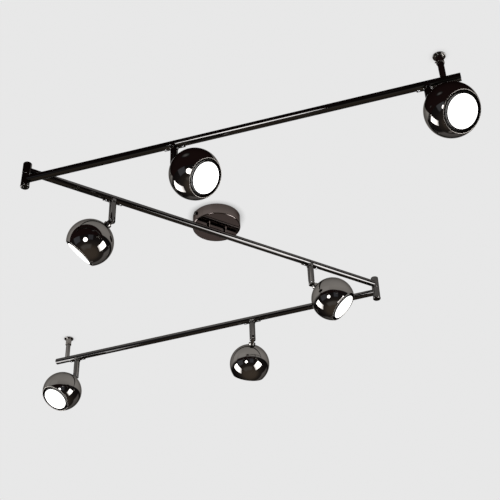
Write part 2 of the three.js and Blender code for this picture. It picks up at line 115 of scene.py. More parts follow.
# Canopy and what it covers.
CANOPY_RADIUS = 43.5
CANOPY_HEIGHT = 22
CANOPY_WALL = 1.2
CANOPY_AZIMUTH = math.radians(183)
CANOPY_FLOOR = -CANOPY_HEIGHT + CANOPY_WALL
CANOPY_SCREW_Z = -6.5
CANOPY_SCREW_RADIUS = 1.6
CANOPY_SCREW_HOLE_RADIUS = 1.9
CANOPY_SCREW_HEAD_RADIUS = 3.8
CANOPY_SCREW_HEAD_HEIGHT = 3.1
BRACKET_HALF_LENGTH = 38.5
BRACKET_WIDTH = 18
BRACKET_THICKNESS = 1.5
BRACKET_EAR_DEPTH = 11
BRACKET_SLOT_X = 22
BRACKET_SLOT_RADIUS = 2.5
BRACKET_SLOT_REACH = 4.5
EARTH_X = 8
POST_OFFSET = 17
POST_RADIUS = 4
POST_NECK_RADIUS = 3
POST_NECK_TOP = -14
POST_HOLE_RADIUS = 3.3
POST_BORE = 1.8
TERMINAL_OFFSET = 22.5
TERMINAL_LENGTH = 26
TERMINAL_WIDTH = 13
TERMINAL_PITCH = TERMINAL_LENGTH / 3
TERMINAL_SCREW_Y = 2.3
WIRE_RADIUS = 1

# Ceiling struts.
ARM_PAST_STRUT = 25
ROD_RADIUS = 4.8
ROD_TOP = -5
SOCKET_RADIUS = 6
SOCKET_END = -16
FLANGE_RADIUS = 9.9
FLANGE_THICKNESS = 1.6
FLANGE_HOLE_RADIUS = 2.1
GRUB_Z = -13.4
GRUB_RADIUS = 1.5

# The body that hangs still: canopy, middle bar and pivot bolts.
FIXED = "canopy_and_middle_bar"


# -------- meshes


def new_object(name, data):
    obj = bpy.data.objects.new(name, data)
    bpy.context.scene.collection.objects.link(obj)
    return obj


def discard(obj):
    mesh = obj.data
    bpy.data.objects.remove(obj)
    bpy.data.meshes.remove(mesh)


def mesh_from(bm):
    """A mesh in metres from a bmesh in millimetres, with its faces pointing out."""
    bmesh.ops.recalc_face_normals(bm, faces=bm.faces)
    bmesh.ops.scale(bm, vec=(MM, MM, MM), verts=bm.verts)
    mesh = bpy.data.meshes.new("draft")
    bm.to_mesh(mesh)
    bm.free()
    return mesh


def rounded(*corners, closed=False):
    """Outline through (x, y) corners, where a third number makes the corner an arc of that radius."""
    points = []
    steps = 6
    for i, (x, y, *fillet) in enumerate(corners):
        here = Vector((x, y))
        if not fillet or (not closed and i in (0, len(corners) - 1)):
            points.append(here)
            continue
        before = (Vector(corners[i - 1][:2]) - here).normalized()
        after = (Vector(corners[(i + 1) % len(corners)][:2]) - here).normalized()
        half = before.angle(after) / 2
        centre = here + (before + after).normalized() * (fillet[0] / math.sin(half))
        start = here + before * (fillet[0] / math.tan(half)) - centre
        end = here + after * (fillet[0] / math.tan(half)) - centre
        turn = start.angle(end)
        for k in range(steps + 1):
            share = k / steps
            mix = start * math.sin((1 - share) * turn) + end * math.sin(share * turn)
            points.append(centre + mix / math.sin(turn))
    return points


def arc(radius, start, end, steps, centre=(0, 0)):
    """Points of a circular arc between two angles, both in radians."""
    angles = [start + (end - start) * k / steps for k in range(steps + 1)]
    return [Vector((centre[0] + radius * math.cos(a), centre[1] + radius * math.sin(a))) for a in angles]


def lathe(outline, sides=64, closed=False):
    """Solid of revolution about Z. An open outline starts and ends on the axis."""
    bm = bmesh.new()
    rings = []
    for r, z in outline:
        if r < 1e-6:
            rings.append([bm.verts.new((0, 0, z))])
            continue
        turns = [2 * math.pi * k / sides for k in range(sides)]
        rings.append([bm.verts.new((r * math.cos(a), r * math.sin(a), z)) for a in turns])
    pairs = list(zip(rings, rings[1:]))
    if closed:
        pairs.append((rings[-1], rings[0]))
    for one, two in pairs:
        for i in range(sides):
            j = (i + 1) % sides
            corners = [one[i % len(one)], one[j % len(one)], two[j % len(two)], two[i % len(two)]]
            bm.faces.new(list(dict.fromkeys(corners)))
    return mesh_from(bm)


def prism(outline, low, high):
    """Solid with a flat outline in X and Y, between two heights."""
    bm = bmesh.new()
    floor = [bm.verts.new((x, y, low)) for x, y in outline]
    roof = [bm.verts.new((x, y, high)) for x, y in outline]
    bm.faces.new(floor)
    bm.faces.new(roof)
    for i in range(len(outline)):
        j = (i + 1) % len(outline)
        bm.faces.new((floor[i], floor[j], roof[j], roof[i]))
    return mesh_from(bm)


def rectangle(width, height):
    x, y = width / 2, height / 2
    return [(-x, -y), (x, -y), (x, y), (-x, y)]


def hexagon(radius):
    return arc(radius, 0, 2 * math.pi * 5 / 6, 5)


def block(length, width, height, centre=(0, 0, 0)):
    return moved(prism(rectangle(length, width), -height / 2, height / 2), at(*centre))


def rod(radius, low, high, sides=48):
    """Round bar along Z, turned a little, so that as a cutter it misses the edges of a lathed face."""
    first = 0.023
    return prism(arc(radius, first, first + 2 * math.pi * (1 - 1 / sides), sides - 1), low, high)


def moved(mesh, matrix):
    """The mesh after a matrix whose translation is in millimetres."""
    scaled = matrix.copy()
    scaled.translation = matrix.translation * MM
    mesh.transform(scaled)
    return mesh


ALONG_X = Matrix.Rotation(math.pi / 2, 4, "Y")
ALONG_Y = Matrix.Rotation(-math.pi / 2, 4, "X")
DOWNWARD = Matrix.Rotation(math.pi, 4, "X")
UP = Vector((0, 0, 1))


def at(x=0, y=0, z=0):
    return Matrix.Translation((x, y, z))


def mesh_of(obj):
    """The object's mesh as it is after its modifiers, or after its curve is filled."""
    return bpy.data.meshes.new_from_object(obj.evaluated_get(bpy.context.evaluated_depsgraph_get()))


def evaluated(obj):
    """The object with its modifiers applied."""
    result = mesh_of(obj)
    obj.modifiers.clear()
    old = obj.data
    obj.data = result
    bpy.data.meshes.remove(old)
    return obj


def edited(mesh, edit):
    """The mesh after an edit of its bmesh."""
    bm = bmesh.new()
    bm.from_mesh(mesh)
    edit(bm)
    bm.to_mesh(mesh)
    bm.free()
    return mesh


def cleaned(mesh):
    """The mesh without faces and edges too small to see."""
    return edited(mesh, lambda bm: bmesh.ops.dissolve_degenerate(bm, dist=0.002 * MM, edges=bm.edges))


def combined(mesh, others, operation):
    """The mesh joined with or cut by other closed meshes."""
    obj = new_object("draft", mesh)
    tools = [new_object("tool", other) for other in others]
    for tool in tools:
        modifier = obj.modifiers.new("combine", "BOOLEAN")
        modifier.operation = operation
        modifier.solver = "EXACT"
        modifier.object = tool
    evaluated(obj)
    result = obj.data
    bpy.data.objects.remove(obj)
    for tool in tools:
        discard(tool)
    return cleaned(result)


def joined(mesh, *others):
    return combined(mesh, others, "UNION")


def cut(mesh, *others):
    return combined(mesh, others, "DIFFERENCE")


def gathered(*meshes):
    """Several closed meshes as the loose parts of one mesh."""
    bm = bmesh.new()
    for mesh in meshes:
        bm.from_mesh(mesh)
        bpy.data.meshes.remove(mesh)
    result = bpy.data.meshes.new("draft")
    bm.to_mesh(result)
    bm.free()
    return result


def finished(mesh, bevel=0.0, segments=2, angle=38):
    """Rounds the sharp edges and shades the mesh smoothly."""
    obj = new_object("draft", mesh)
    if bevel:
        modifier = obj.modifiers.new("bevel", "BEVEL")
        modifier.width = bevel * MM
        modifier.segments = segments
        modifier.limit_method = "ANGLE"
        modifier.angle_limit = math.radians(angle)
        cleaned(evaluated(obj).data)
    obj.data.shade_smooth()
    obj.data.set_sharp_from_angle(angle=math.radians(angle))
    modifier = obj.modifiers.new("normals", "WEIGHTED_NORMAL")
    modifier.keep_sharp = True
    modifier.weight = 60
    evaluated(obj)
    result = obj.data
    bpy.data.objects.remove(obj)
    return result


def tube(points, radius):
    """Round wire along a smooth curve through points in millimetres."""
    curve = bpy.data.curves.new("route", "CURVE")
    curve.dimensions = "3D"
    curve.bevel_depth = radius * MM
    curve.bevel_resolution = 4
    curve.resolution_u = 10
    curve.use_fill_caps = True
    spline = curve.splines.new("BEZIER")
    spline.bezier_points.add(len(points) - 1)
    for knot, point in zip(spline.bezier_points, points):
        knot.co = Vector(point) * MM
        knot.handle_left_type = knot.handle_right_type = "AUTO"
    obj = new_object("route", curve)
    mesh = mesh_of(obj)
    bpy.data.objects.remove(obj)
    bpy.data.curves.remove(curve)
    edited(mesh, lambda bm: bmesh.ops.remove_doubles(bm, verts=bm.verts, dist=1e-6))
    return edited(mesh, lambda bm: bmesh.ops.recalc_face_normals(bm, faces=bm.faces))


def paint_faces(mesh, chosen, index=1):
    """Gives the faces whose centre passes the test, in millimetres, another material slot."""
    for face in mesh.polygons:
        if chosen(face.center / MM):
            face.material_index = index
    return mesh


def place(name, mesh, materials, body, slot, replaces=(), matrix=None):
    """A piece of the object, put in the frame, riding on its body and standing for CAD nodes."""
    mesh.name = name
    obj = new_object(name, mesh)
    for material in materials if isinstance(materials, (list, tuple)) else [materials]:
        mesh.materials.append(material)
    if matrix is not None:
        obj.matrix_world = matrix
    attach(obj, body)
    if replaces:
        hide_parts(*replaces)
    return obj


def look(node, mesh, materials, body, matrix=None, slot="black_chrome"):
    """The piece that stands for one CAD node and is named after it."""
    return place(node + "_look", mesh, materials, body, slot, [node], matrix)


# -------- materials


class Nodes:
    """A node tree, with the few calls that its making repeats."""

    def __init__(self, tree):
        self.tree = tree

    def set(self, socket, value):
        if isinstance(value, bpy.types.NodeSocket):
            self.tree.links.new(value, socket)
        else:
            socket.default_value = value

    def add(self, kind, inputs=(), **settings):
        made = self.tree.nodes.new("ShaderNode" + kind)
        for key, value in settings.items():
            setattr(made, key, value)
        for key, value in dict(inputs).items():
            self.set(made.inputs[key], value)
        return made

    def calculated(self, operation, *values):
        return self.add("Math", dict(enumerate(values)), operation=operation).outputs[0]

    def split(self, vector, axis):
        return self.add("SeparateXYZ", {0: vector}).outputs[axis]

    def ranged(self, value, low, high, start=0.3, end=0.7, **settings):
        """The value's span from start to end, mapped to low to high and held there."""
        inputs = {"Value": value, "From Min": start, "From Max": end, "To Min": low, "To Max": high}
        return self.add("MapRange", inputs, **settings).outputs["Result"]

    def mixed(self, factor, one, two):
        return self.add("Mix", {0: factor, 6: one, 7: two}, data_type="RGBA").outputs[2]


class Shader(Nodes):
    """The material of a piece, with what the looks of the pieces repeat."""

    def __init__(self, name, **values):
        self.material = bpy.data.materials.new(name)
        self.material.use_nodes = True
        super().__init__(self.material.node_tree)
        self.surface = self.tree.nodes["Principled BSDF"]
        self.coordinates = self.add("TexCoord").outputs["Object"]
        self.piece = self.add("ObjectInfo").outputs["Random"]
        for socket, value in values.items():
            self.set(self.surface.inputs[socket.replace("_", " ")], value)

    def noise(self, scale, detail=2, roughness=0.5, shift=0.0):
        """Noise that differs from piece to piece. The scale is in features per metre."""
        offset = self.calculated("MULTIPLY_ADD", self.piece, 20.0, shift)
        inputs = {"Vector": self.coordinates, "W": offset, "Scale": scale}
        inputs.update({"Detail": detail, "Roughness": roughness})
        return self.add("TexNoise", inputs, noise_dimensions="4D").outputs["Fac"]

    def bump(self, height, distance, strength=1.0):
        """Relief of that height, in metres."""
        inputs = {"Height": height, "Distance": distance, "Strength": strength}
        return self.add("Bump", inputs).outputs["Normal"]

    def edges(self):
        """1 on outer edges, 0 elsewhere."""
        return self.ranged(self.add("NewGeometry").outputs["Pointiness"], 0, 1, 0.52, 0.6)

    def finish(self, colour, roughness, normal):
        """The material, once these are on its surface."""
        for name, value in (("Base Color", colour), ("Roughness", roughness), ("Normal", normal)):
            self.set(self.surface.inputs[name], value)
        return self.material


def plated(name, dark, light, smooth, rough, ripple, ceiling_shade=0):
    """Dark mirror plating: faint clouding, wiping marks, and a slight ripple from polishing.
    Where the last number is over 0, painted shade darkens it towards the ceiling."""
    shader = Shader(name, Metallic=1.0, Specular_Tint=(0.35, 0.35, 0.35, 1))
    clouds = shader.ranged(shader.noise(22, detail=3), 0, 1)
    colour = shader.mixed(shader.edges(), shader.mixed(clouds, dark, light), (0.34, 0.325, 0.31, 1))
    # Painted shade: over the last 16 mm below the ceiling the colour darkens towards near black,
    # standing for the ceiling's shadow on the wall.
    if ceiling_shade:
        ceiling_shade_mask = shader.ranged(shader.split(shader.coordinates, "Z"), 0, ceiling_shade, -0.016, -0.001)
        colour = shader.mixed(ceiling_shade_mask, colour, (0.012, 0.01, 0.009, 1))
    smudges = shader.ranged(shader.noise(70, detail=5, roughness=0.65, shift=3), 0, 1, 0.45, 0.75)
    fine = shader.ranged(shader.noise(900, detail=2, shift=5), -0.012, 0.012)
    roughness = shader.calculated("ADD", shader.ranged(smudges, smooth, rough, 0, 1), fine)
    return shader.finish(colour, roughness, shader.bump(shader.noise(60, detail=1, shift=7), ripple))


def rim_polish():
    """Bare polished edge of the globe, where the dark plating is thin."""
    shader = Shader("rim_polish", Metallic=1.0)
    marks = shader.noise(600, detail=4, roughness=0.7)
    colour = shader.mixed(shader.ranged(marks, 0, 1), (0.13, 0.12, 0.11, 1), (0.2, 0.185, 0.17, 1))
    return shader.finish(colour, shader.ranged(marks, 0.36, 0.46), shader.bump(marks, 0.00001))


def satin_black():
    """Stoved black inside the globe."""
    shader = Shader("satin_black", Metallic=0.0, Specular_IOR_Level=0.14)
    clouds = shader.noise(40, detail=2, shift=2)
    colour = shader.mixed(clouds, (0.006, 0.005, 0.0045, 1), (0.014, 0.011, 0.009, 1))
    grain = shader.bump(shader.noise(1500, detail=3), 0.00003, 0.6)
    return shader.finish(colour, shader.ranged(clouds, 0.42, 0.6), grain)


def steel(name, light, dark, rough):
    """Plated metal with a spangled sheen and scuffed edges."""
    shader = Shader(name, Metallic=1.0)
    spangle = shader.add("TexVoronoi", {"Vector": shader.coordinates, "Scale": 420.0})
    grains = shader.add("SeparateColor", {"Color": spangle.outputs["Color"]}).outputs[0]
    blend = shader.mixed(shader.ranged(grains, 0.1, 0.8, 0, 1), dark, light)
    colour = shader.mixed(shader.edges(), blend, (0.86, 0.86, 0.85, 1))
    scuffs = shader.noise(300, detail=4, roughness=0.7)
    roughness = shader.ranged(scuffs, rough - 0.08, rough + 0.12)
    return shader.finish(colour, roughness, shader.bump(scuffs, 0.00002, 0.8))


def opal_light():
    """Lit opal face of the lamp, faintly cloudy."""
    shader = Shader("opal_light", Specular_IOR_Level=0.4)
    tint = shader.mixed(shader.noise(60, detail=2), (0.97, 0.96, 0.93, 1), (1.0, 0.995, 0.975, 1))
    shader.set(shader.surface.inputs["Emission Color"], tint)
    shader.surface.inputs["Emission Strength"].default_value = 1.25
    return shader.finish(tint, 0.35, shader.bump(shader.noise(2500, detail=1, shift=4), 0.00001))


def glazed(name, dark, light, rough, grain):
    """Pale moulded or fired white, slightly mottled."""
    shader = Shader(name, Specular_IOR_Level=0.45)
    mottle = shader.noise(180, detail=4, roughness=0.6)
    colour = shader.mixed(shader.ranged(mottle, 0, 1), dark, light)
    roughness = shader.ranged(shader.noise(90, detail=2, shift=2), rough - 0.1, rough + 0.1)
    return shader.finish(colour, roughness, shader.bump(shader.noise(1600, detail=3, shift=4), grain))


def wire_sheath(name, dark, light):
    """Streaky plastic round a wire."""
    shader = Shader(name, Specular_IOR_Level=0.5)
    streaks = shader.noise(260, detail=3)
    colour = shader.mixed(shader.ranged(streaks, 0, 1), dark, light)
    grain = shader.bump(shader.noise(2200, detail=2, shift=3), 0.00001)
    return shader.finish(colour, shader.ranged(streaks, 0.32, 0.5), grain)


GLOBE_TONES = (0.17, 0.162, 0.155, 1), (0.215, 0.205, 0.195, 1)
BAR_TONES = (0.068, 0.066, 0.065, 1), (0.088, 0.085, 0.083, 1)
BOLT_TONES = (0.05, 0.048, 0.046, 1), (0.08, 0.077, 0.075, 1)
CANOPY_TONES = (0.105, 0.088, 0.083, 1), (0.135, 0.112, 0.106, 1)
BLACK_CHROME = plated("black_chrome", *GLOBE_TONES, 0.035, 0.075, 0.00001)
BAR_CHROME = plated("bar_chrome", *BAR_TONES, 0.025, 0.045, 0.000005)
BOLT_BLACK = plated("bolt_black", *BOLT_TONES, 0.12, 0.2, 0.000006)
# The canopy gets painted shade, darker towards the ceiling.
CANOPY_CHROME = plated("canopy_chrome", *CANOPY_TONES, 0.08, 0.13, 0.00001, 0.4)
RIM = rim_polish()
LINER = satin_black()
ZINC = steel("zinc_steel", (0.72, 0.73, 0.74, 1), (0.5, 0.51, 0.53, 1), 0.3)
BRASS = steel("terminal_brass", (0.82, 0.64, 0.33, 1), (0.66, 0.49, 0.23, 1), 0.28)
OPAL = opal_light()
LAMP_WHITE = glazed("lamp_white", (0.78, 0.77, 0.74, 1), (0.86, 0.85, 0.82, 1), 0.4, 0.00001)
CERAMIC = glazed("ceramic", (0.7, 0.66, 0.58, 1), (0.8, 0.77, 0.7, 1), 0.62, 0.00004)
POLYAMIDE = glazed("terminal_plastic", (0.76, 0.77, 0.75, 1), (0.85, 0.85, 0.83, 1), 0.45, 0.00002)
WIRE_BROWN = wire_sheath("wire_brown", (0.1, 0.04, 0.02, 1), (0.16, 0.065, 0.03, 1))
WIRE_BLUE = wire_sheath("wire_blue", (0.02, 0.08, 0.3, 1), (0.035, 0.12, 0.4, 1))
WIRE_GREEN = wire_sheath("wire_green", (0.05, 0.2, 0.03, 1), (0.55, 0.5, 0.05, 1))


# -------- places


def joint(name):
    return next(j for j in frame["joints"] if j["name"] == name)


def basis(x, y, z, origin):
    matrix = Matrix((x, y, z)).transposed().to_4x4()
    matrix.translation = origin
    return matrix


def turned_frame(origin, azimuth):
    return Matrix.Translation(origin) @ Matrix.Rotation(azimuth, 4, "Z")


def middle_of(node):
    """Mean of a CAD node's corners, which is on the axis of a turned one."""
    corners = [v.co for v in frame["nodes"][node].data.vertices]
    return sum(corners, Vector()) / len(corners)


def heading(vector):
    return math.atan2(vector.y, vector.x)


class Head:
    """Where one spotlight is at rest: its stem on the bar, its hinge, and its optical axis."""

    def __init__(self, number):
        tilt = joint(f"head_{number}_tilt")
        hinge = Vector(tilt["pos_m"])
        across = -Vector(tilt["axis"]).normalized()
        optical = (middle_of(f"lamp_{number}") - hinge).normalized()
        self.number = number
        self.bar = joint(f"head_{number}_swivel")["parent"]
        self.on_bar = hinge + UP * (HINGE_DROP * MM)
        self.stem = basis(across.cross(UP), across, UP, self.on_bar)
        self.hinge = basis(across.cross(-optical), across, -optical, hinge)


PIVOTS = {side: Vector(joint(f"{side}_arm_swing")["pos_m"]) for side in ("left", "right")}
ARM_AZIMUTHS = {
    side: heading(middle_of(f"{side}_strut_rod") - PIVOTS[side]) for side in ("left", "right")
}
HEADS = [Head(number) for number in range(1, 7)]


# -------- bars and pivots


def sleeve_mesh(low, high, top):
    """Pivot sleeve before its bore is cut: a short round rod with soft ends."""
    return lathe(rounded((0, low), (SLEEVE_RADIUS, low, 0.5), (SLEEVE_RADIUS, high, top), (0, high)), 96)


def bar_tube(start, end):
    """Round bar along X with softly rounded ends."""
    length = end - start
    outline = rounded((0, 0), (BAR_RADIUS, 0, 0.5), (BAR_RADIUS, length, 0.5), (0, length))
    return moved(lathe(outline, 96), at(start) @ ALONG_X)


def make_middle_bar():
    reach = PIVOTS["right"].x / MM
    low, high = SLEEVE_SPLIT + SLEEVE_GAP / 2, SLEEVE_TOP
    sleeves = [moved(sleeve_mesh(low, high, 1.1), at(x)) for x in (-reach, reach)]
    bores = [moved(rod(SLEEVE_BORE, low - 1, high - SLEEVE_LID, 64), at(x)) for x in (-reach, reach)]
    bar = cut(joined(moved(bar_tube(-reach, reach), at(0, 0, MIDDLE_BAR_Z)), *sleeves), *bores)
    look("middle_bar", finished(bar, 0.25), BAR_CHROME, FIXED)


def make_arm(side):
    where = turned_frame(PIVOTS[side].xy.to_3d(), ARM_AZIMUTHS[side])
    length = (middle_of(f"{side}_strut_rod") - PIVOTS[side]).xy.length / MM + ARM_PAST_STRUT
    low, high = SLEEVE_BOTTOM, SLEEVE_SPLIT - SLEEVE_GAP / 2
    bar = joined(moved(bar_tube(0, length), at(0, 0, OUTER_BAR_Z)), sleeve_mesh(low, high, 0.5))
    bar = finished(cut(bar, rod(SLEEVE_BORE, low - 1, high + 1, 64)), 0.25)
    look(f"{side}_outer_bar", bar, BAR_CHROME, f"{side}_arm", where)


def make_pivot_bolt(side):
    """Bolt through both sleeves, with a domed head and two holes in it for a pin wrench."""
    seat = SLEEVE_BOTTOM - SLEEVE_GAP
    foot = seat - BOLT_HEAD_HEIGHT
    top = SLEEVE_TOP - SLEEVE_LID - SLEEVE_GAP
    outline = rounded(
        (0, foot),
        (BOLT_HEAD_RADIUS, foot, 2.2),
        (BOLT_HEAD_RADIUS, seat, 0.4),
        (BOLT_RADIUS, seat, 0.2),
        (BOLT_RADIUS, top, 0.4),
        (0, top),
    )
    holes = [moved(rod(0.8, foot - 1, foot + 1.2, 24), at(x)) for x in (-3.6, 3.6)]
    mesh = finished(cut(lathe(outline, 96), *holes), 0.12)
    look(f"{side}_pivot_bolt", mesh, BOLT_BLACK, FIXED, Matrix.Translation(PIVOTS[side].xy.to_3d()))


# -------- heads


def saddle_mesh():
    """Curved plate under the bar, with a boss for the stem."""
    start, end = -math.pi / 2 - SADDLE_HALF_ANGLE, -math.pi / 2 + SADDLE_HALF_ANGLE
    section = arc(SADDLE_OUTER, start, end, 28) + arc(SADDLE_INNER, end, start, 28)
    turn = basis(Vector((0, 1, 0)), UP, Vector((1, 0, 0)), Vector())
    plate = moved(prism(section, -SADDLE_LENGTH / 2, SADDLE_LENGTH / 2), turn)
    radius, foot = SADDLE_BOSS_RADIUS, -SADDLE_BOSS_DEPTH
    boss = rounded((0, -4), (radius, -4), (radius, foot, 0.5), (0, foot))
    trim = moved(rod(SADDLE_OUTER - 0.5, -20, 20, 64), ALONG_X)
    body = joined(plate, cut(lathe(boss, 64), trim))
    return finished(body, 0.35, 3, 50)


def screw_mesh(radius, height, recess=0.5):
    """Domed screw head with a cross recess, standing on z = 0 and pointing up."""
    crown = rounded(
        (0, -1.2),
        (radius * 0.6, -1.2),
        (radius * 0.6, 0),
        (radius, 0),
        (radius, height, height * 0.85),
        (0, height),
    )
    reach, half = radius * 0.5, radius * 0.14
    corner = [(reach, -half), (reach, half), (half, half)]
    cross = [Matrix.Rotation(0.3 + k * math.pi / 2, 2) @ Vector(p) for k in range(4) for p in corner]
    return finished(cut(lathe(crown, 32), prism(cross, height - recess, height + 1)), 0.05)


def stem_mesh():
    """Round stem: a turned groove under the boss, and a fork with rounded cheeks below."""
    outline = rounded(
        (0, STEM_END),
        (STEM_RADIUS, STEM_END, 2.4),
        (STEM_RADIUS, STEM_TOP - 2.4, 0.1),
        (STEM_RADIUS - 0.45, STEM_TOP - 2.1, 0.1),
        (STEM_RADIUS - 0.45, STEM_TOP - 1.6, 0.1),
        (STEM_RADIUS, STEM_TOP - 1.3, 0.1),
        (STEM_RADIUS, STEM_TOP, 0.5),
        (STEM_NECK_RADIUS, STEM_TOP, 0.2),
        (STEM_NECK_RADIUS, -3.2, 0.4),
        (0, -3.2),
    )
    slot_top = -HINGE_DROP + TONGUE_RADIUS + 0.6
    slot_height = slot_top - STEM_END + 1
    slot = block(4 * STEM_RADIUS, SLOT_WIDTH, slot_height, (0, 0, slot_top - slot_height / 2))
    hole = moved(rod(PIN_RADIUS + 0.15, -8, 8, 32), at(0, 0, -HINGE_DROP) @ ALONG_Y)
    bore = rod(1.8, slot_top - 1, 0, 24)
    return finished(cut(lathe(outline, 72), slot, hole, bore), 0.22)


def pin_mesh():
    """Hinge screw across the fork, with a socket in its domed end."""
    half = 5.4
    outline = rounded((0, -half), (PIN_RADIUS, -half, 0.6), (PIN_RADIUS, half, 0.6), (0, half))
    socket = prism(hexagon(0.8), half - 1, half + 1)
    return moved(finished(cut(lathe(outline, 40), socket), 0.05), ALONG_Y)


def hinge_arm_mesh():
    """Flat tongue in the fork, its round collar on the globe, and the threaded nipple inside."""
    nipple_end = HINGE_TO_CENTRE + HOLDER_BACK - 0.3
    seat = HINGE_TO_CENTRE - GLOBE_RADIUS
    tongue = moved(rod(TONGUE_RADIUS, -TONGUE_THICKNESS / 2, TONGUE_THICKNESS / 2, 64), ALONG_Y)
    web = block(2 * TONGUE_RADIUS, TONGUE_THICKNESS, COLLAR_TOP + 1, (0, 0, -(COLLAR_TOP + 1) / 2))
    outline = [(0, -nipple_end), (NIPPLE_RADIUS - 0.4, -nipple_end)]
    grooves = 8
    threaded = nipple_end - seat - 0.6
    pitch = threaded / grooves
    for k in range(grooves):
        z = -nipple_end + threaded * k / grooves
        outline += [(NIPPLE_RADIUS, z + pitch * 0.25), (NIPPLE_RADIUS - 0.35, z + pitch * 0.75)]
    outline += [
        (NIPPLE_RADIUS, -seat + 0.2),
        (COLLAR_RADIUS, -seat + 0.25, 0.3),
        (COLLAR_RADIUS, -COLLAR_TOP, 0.9),
        (0, -COLLAR_TOP),
    ]
    shank = lathe(rounded(*outline), 64)
    hole = moved(rod(PIN_RADIUS + 0.12, -8, 8, 32), ALONG_Y)
    return finished(cut(joined(shank, web, tongue), hole), 0.25)


def depth(along):
    """Height of a point on the optical axis, counted from the globe's centre to its opening."""
    return -(HINGE_TO_CENTRE + along)


def globe_points(radius, start, end, steps):
    """Outline points on a sphere round the globe's centre, between two depths."""
    first, last = math.acos(start / radius), math.acos(end / radius)
    angles = [first + (last - first) * k / steps for k in range(steps + 1)]
    return [Vector((radius * math.sin(a), depth(radius * math.cos(a)))) for a in angles]


def globe_mesh():
    """Thin spun globe. Slot 1 is the polished rim of the opening, slot 2 the black inside."""
    inner = GLOBE_RADIUS - GLOBE_WALL
    hole = NIPPLE_RADIUS + 0.35
    outer_back = -math.sqrt(GLOBE_RADIUS**2 - hole**2)
    inner_back = -math.sqrt(inner**2 - hole**2)
    outside = globe_points(GLOBE_RADIUS, outer_back, OPENING_DEPTH - 0.45, 72)
    inside = globe_points(inner, OPENING_DEPTH - 0.45, inner_back, 40)
    middle = (outside[-1] + inside[0]) / 2
    bead = (outside[-1] - inside[0]).length / 2
    tilt = math.atan2(outside[-1].y - inside[0].y, outside[-1].x - inside[0].x)
    lip = arc(bead, tilt, tilt - math.pi, 10, middle)[1:-1]
    mesh = lathe(outside + lip + inside, 128, closed=True)
    centre = Vector((0, 0, depth(0)))
    limit = depth(OPENING_DEPTH - 0.5)
    paint_faces(mesh, lambda p: (p - centre).length < GLOBE_RADIUS - GLOBE_WALL / 2, 2)
    paint_faces(mesh, lambda p: p.z < limit, 1)
    return finished(mesh)


def liner_mesh():
    """Stepped black ring behind the rim, which shades the lamp's edge."""
    back = OPENING_DEPTH - LINER_DEPTH
    wall = math.sqrt((GLOBE_RADIUS - GLOBE_WALL - 0.25) ** 2 - back**2)
    first = LAMP_RADIUS + 0.45
    outline = [(first, depth(back))]
    for k in range(3):
        r = first + 0.62 * k
        z = depth(back + LINER_STEP - 0.4 * k)
        outline += [(r, z), (r + 0.3, z + 0.35)]
    outline += [(LINER_SHOULDER_RADIUS, depth(back + 4)), (wall, depth(back))]
    return finished(lathe(rounded(*outline, closed=True), 96, closed=True))


def lamp_mesh():
    """Reflector lamp: lit opal face in slot 0, white finned body in slot 1, black trim in slot 2."""
    front = LAMP_FRONT
    collar = depth(front - LAMP_COLLAR)
    shoulder = front - 8
    waist = -6
    edge = LAMP_RADIUS - 0.6
    face = rounded((0, depth(front)), (edge, depth(front - 0.4), 0.2), (edge, depth(front - 0.9)))
    trim = rounded(
        (edge + 0.1, depth(front - 0.9)),
        (edge + 0.1, depth(front - 0.6), 0.1),
        (LAMP_RADIUS, depth(front - 0.6), 0.2),
        (LAMP_RADIUS, collar, 0.1),
    )
    body = rounded(
        (LAMP_RADIUS - 0.3, collar),
        (LAMP_RADIUS - 0.3, depth(shoulder), 0.8),
        (LAMP_WAIST_RADIUS, depth(waist), 2),
        (LAMP_BASE_RADIUS, depth(-10)),
        (LAMP_BASE_RADIUS, depth(HOLDER_FRONT + 0.3), 0.8),
        (0, depth(HOLDER_FRONT + 0.3)),
    )
    mesh = lathe(face + trim + body, 96)
    paint_faces(mesh, lambda p: p.z > collar, 1)
    paint_faces(mesh, lambda p: p.z <= collar and p.xy.length > edge, 2)
    lean = math.atan2(LAMP_RADIUS - LAMP_WAIST_RADIUS, shoulder - waist)
    for k in range(LAMP_FINS):
        turn = Matrix.Rotation(2 * math.pi * k / LAMP_FINS, 4, "Z")
        rib = block(1.0, 0.7, 13)
        rib = moved(rib, turn @ at(19.5, 0, depth(6.6)) @ Matrix.Rotation(-lean, 4, "Y"))
        mesh = gathered(mesh, paint_faces(rib, lambda p: True, 1))
    return finished(mesh)


def lampholder_mesh():
    """Ceramic lampholder: a stepped cup with its two screw wells."""
    outline = rounded(
        (0, depth(HOLDER_FRONT)),
        (HOLDER_RADIUS - 1.6, depth(HOLDER_FRONT), 0.5),
        (HOLDER_RADIUS - 1.6, depth(HOLDER_FRONT - 2.5), 0.3),
        (HOLDER_RADIUS, depth(HOLDER_FRONT - 2.5), 0.4),
        (HOLDER_RADIUS, depth(HOLDER_BACK + 1), 1.2),
        (0, depth(HOLDER_BACK)),
    )
    wells = [moved(rod(1.7, depth(HOLDER_BACK + 3), depth(HOLDER_BACK - 1), 24), at(x)) for x in (-9, 9)]
    return finished(cut(lathe(outline, 64), *wells), 0.2)


